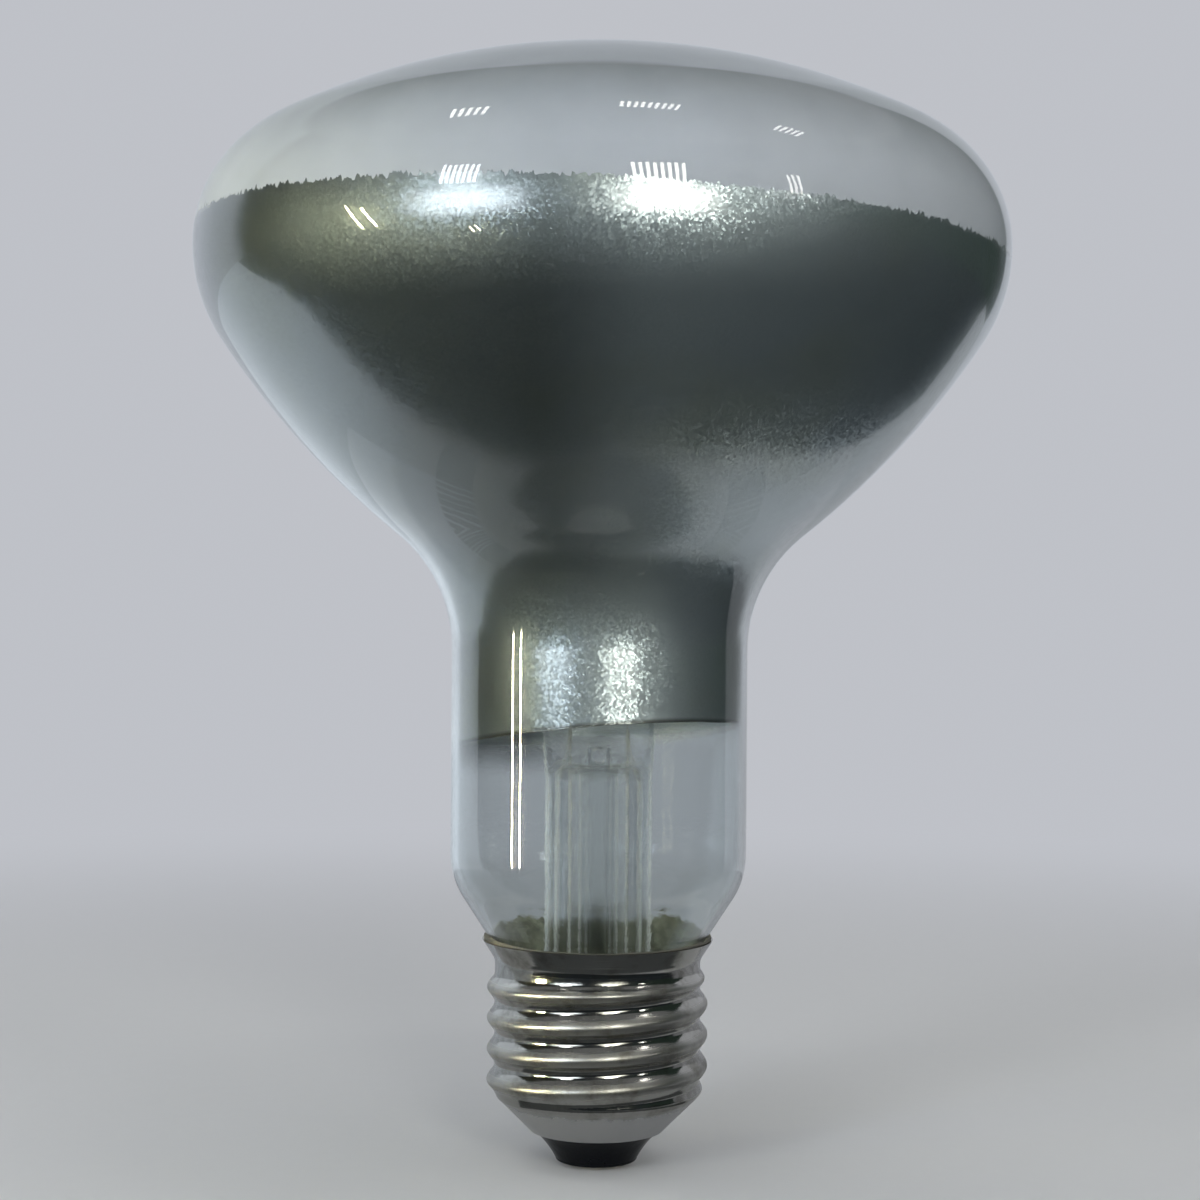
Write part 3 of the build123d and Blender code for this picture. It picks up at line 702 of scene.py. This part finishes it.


# two pale cards bent round the back of the cap and neck, which glow and are seen only in what is shiny:
# painted reflections
def standCards():
    reach = bentCards["reach"]
    for size in ("low", "tall"):
        settings = bentCards[size]
        made, tree, where = newMaterial(size + "Card")
        parts = partsOf(tree, where)
        onLeft = rampUp(tree, parts["X"], bentCards["leftFrom"] * reach, bentCards["leftTo"] * reach)
        high = rampUp(tree, parts["Z"], bentCards["highFrom"], bentCards["highTo"])
        leftSide = blendColour(tree, high, bentCards["leftPale"], bentCards["leftHigh"])
        colour = blendColour(tree, onLeft, room["pale"], leftSide)
        glow = put(tree, "Emission", {"Color": colour, "Strength": settings["bright"]}).outputs[0]
        finishMaterial(tree, glow)
        bm = bmesh.new()
        start, end = radians(settings["start"]), radians(settings["end"])
        spot = Vector((sin(start), -cos(start), 0)) * reach
        foot = bm.verts.new(spot)
        top = bm.verts.new(spot + Vector((0, 0, settings["height"])))
        bm.edges.new((foot, top))
        bmesh.ops.spin(bm, geom=bm.verts[:] + bm.edges[:], cent=(0, 0, 0), axis=(0, 0, 1),
                       angle=end - start, steps=bentCards["steps"])
        card = meshObject(size + "Card", bm, [made])
        card.visible_camera = False
        card.visible_diffuse = False
        card.visible_transmission = False
        card.visible_shadow = False


# turn is from the camera's side, towards the right; bars are the tubes in a lamp, and none gives a soft panel
white = (1.0, 0.99, 0.97)
yellow = (1.0, 0.97, 0.76)
lamps = dict(
    leftBank=dict(turn=-37.3, lift=18.5, away=0.7, wide=0.125, tall=0.15, watts=0.7, bars=7,
                  colour=(0.96, 0.98, 1.0)),
    rightBank=dict(turn=14.3, lift=19.0, away=0.7, wide=0.17, tall=0.16, watts=0.9, bars=8,
                   colour=(1.0, 0.99, 0.95)),
    leftGlow=dict(turn=-35.0, lift=3.0, away=0.6, wide=0.44, tall=0.22, watts=0.84, colour=(0.92, 0.96, 1.0)),
    rightGlow=dict(turn=16.0, lift=3.0, away=0.6, wide=0.39, tall=0.22, watts=0.67, colour=(1.0, 1.0, 0.95)),
    farBank=dict(turn=50.6, lift=15.0, away=0.8, wide=0.06, tall=0.16, watts=0.2, bars=3),
    leftTop=dict(turn=-62.0, lift=63.0, away=0.84, wide=0.11, tall=0.104, watts=0.22, bars=5, roll=37.0),
    rightTop=dict(turn=27.8, lift=72.6, away=0.88, wide=0.169, tall=0.087, watts=0.3, bars=9, roll=-27.0),
    farTop=dict(turn=66.5, lift=50.3, away=0.886, wide=0.1, tall=0.077, watts=0.13, bars=5, roll=-60.0),
    neckTubes=dict(turn=-63.3, lift=-3.0, away=0.205, wide=0.049, tall=0.055, watts=0.016, bars=2, share=0.05,
                   aim=0.045, spread=22.0, colour=yellow),
    flankTubeLeft=dict(turn=-62.4, lift=-1.7, away=0.238, wide=0.0028, tall=0.05, watts=0.0024,
                       bars=1, share=1.0, aim=0.104, spread=26.0, roll=22.0, colour=yellow),
    flankTubeRight=dict(turn=-57.9, lift=-3.0, away=0.239, wide=0.0028, tall=0.044, watts=0.0021,
                        bars=1, share=1.0, aim=0.104, spread=26.0, roll=22.0, colour=yellow),
    flankDots=dict(turn=-30.9, lift=-13.4, away=0.244, wide=0.014, tall=0.013, watts=0.0002,
                   bars=2, share=0.2, aim=0.104, spread=15.0, roll=22.0, colour=yellow),
    overhead=dict(turn=160.0, lift=78.0, away=1.2, wide=0.9, tall=0.9, watts=1.6, inMirror=False))
usualLamp = dict(bars=0, share=0.5, aim=0.08, spread=180.0, roll=0.0, colour=white, inMirror=True)
softPanel = dict(edge=0.5, full=0.1, gain=2.8)


# tubes side by side with gaps, or a panel that fades out to its edges
def lampPattern(tree, lamp):
    across = partsOf(tree, put(tree, "NewGeometry").outputs["Parametric"])
    if lamp["bars"]:
        phase = maths(tree, "FRACT", multiply(tree, across["X"], float(lamp["bars"])))
        fromMiddle = maths(tree, "ABSOLUTE", maths(tree, "SUBTRACT", phase, 0.5))
        lit = maths(tree, "LESS_THAN", fromMiddle, lamp["share"] / 2)
        return maths(tree, "DIVIDE", lit, lamp["share"])
    fades = []
    for axis in "XY":
        fromMiddle = maths(tree, "ABSOLUTE", maths(tree, "SUBTRACT", across[axis], 0.5))
        fades.append(rampUp(tree, fromMiddle, softPanel["edge"], softPanel["full"]))
    return multiply(tree, multiply(tree, *fades), softPanel["gain"])


def hangLamp(name):
    lamp = {**usualLamp, **lamps[name]}
    light = bpy.data.lights.new(name, "AREA")
    light.shape = "RECTANGLE"
    light.size = lamp["wide"]
    light.size_y = lamp["tall"]
    light.energy = lamp["watts"]
    light.color = lamp["colour"]
    light.spread = radians(lamp["spread"])
    light.use_nodes = True
    tree = light.node_tree
    tree.nodes.clear()
    values = {"Color": (*lamp["colour"], 1), "Strength": lampPattern(tree, lamp)}
    put(tree, "OutputLight", {"Surface": put(tree, "Emission", values).outputs[0]})
    turn, lift = radians(lamp["turn"]), radians(lamp["lift"])
    spot = Vector((sin(turn) * cos(lift), -cos(turn) * cos(lift), sin(lift))) * lamp["away"]
    facing = (-spot).to_track_quat("-Z", "Y") @ Quaternion((0, 0, 1), radians(lamp["roll"]))
    hung = addObject(name, light)
    hung.location = Vector((0, 0, lamp["aim"])) + spot
    hung.rotation_euler = facing.to_euler()
    hung.visible_camera = False
    hung.visible_glossy = lamp["inMirror"]


view = dict(away=0.2716, height=0.06535, pitch=0.275, roll=0.4, lens=68.72, sensor=36.0, nearest=0.01)


def placeCamera():
    data = bpy.data.cameras.new("camera")
    data.lens = view["lens"]
    data.sensor_width = view["sensor"]
    data.clip_start = view["nearest"]
    tilt = Matrix.Rotation(radians(90.0 + view["pitch"]), 4, "X")
    roll = Matrix.Rotation(radians(view["roll"]), 4, "Z")
    camera = addObject("camera", data)
    camera.matrix_world = Matrix.Translation((0, -view["away"], view["height"])) @ tilt @ roll
    bpy.context.scene.camera = camera


paintRoom()
layFloor()
standCards()
for lampName in lamps:
    hangLamp(lampName)
placeCamera()
bpy.context.scene.view_settings.view_transform = "Standard"
print("room, lamps and camera ready")
